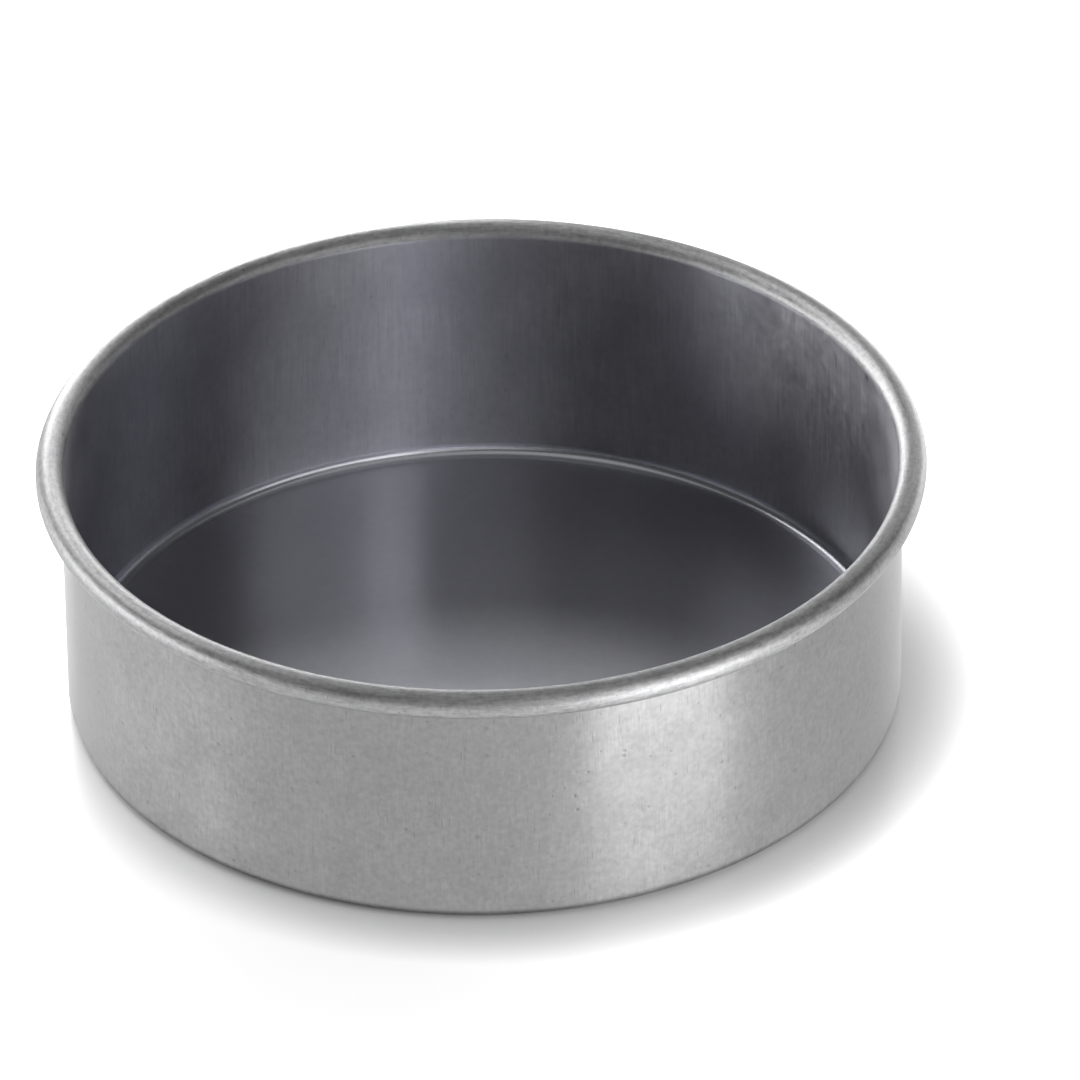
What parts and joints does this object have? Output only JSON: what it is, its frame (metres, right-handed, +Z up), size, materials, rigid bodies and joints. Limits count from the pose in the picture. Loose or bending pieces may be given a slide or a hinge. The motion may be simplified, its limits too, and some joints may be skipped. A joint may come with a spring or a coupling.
{
  "type": "deep dish pizza pan",
  "caption": "Round straight-sided deep baking pan with a flat base and its rim curled outward round a stiffening wire.",
  "frame": {"origin": "centre of the flat underside of the base", "axes": "+Z up along the pan's axis of revolution, X and Y in the plane of the base, -Y towards the viewer of the picture"},
  "size_m": [0.1628, 0.1628, 0.0508],
  "materials": {
    "pan_sheet": "satin aluminised steel outside, dark grey release coating inside",
    "wire_steel": "plain drawn wire"
  },
  "bodies": {
    "root": {"pan_body": "pan_sheet", "rim_wire": "wire_steel"}
  },
  "joints": []
}
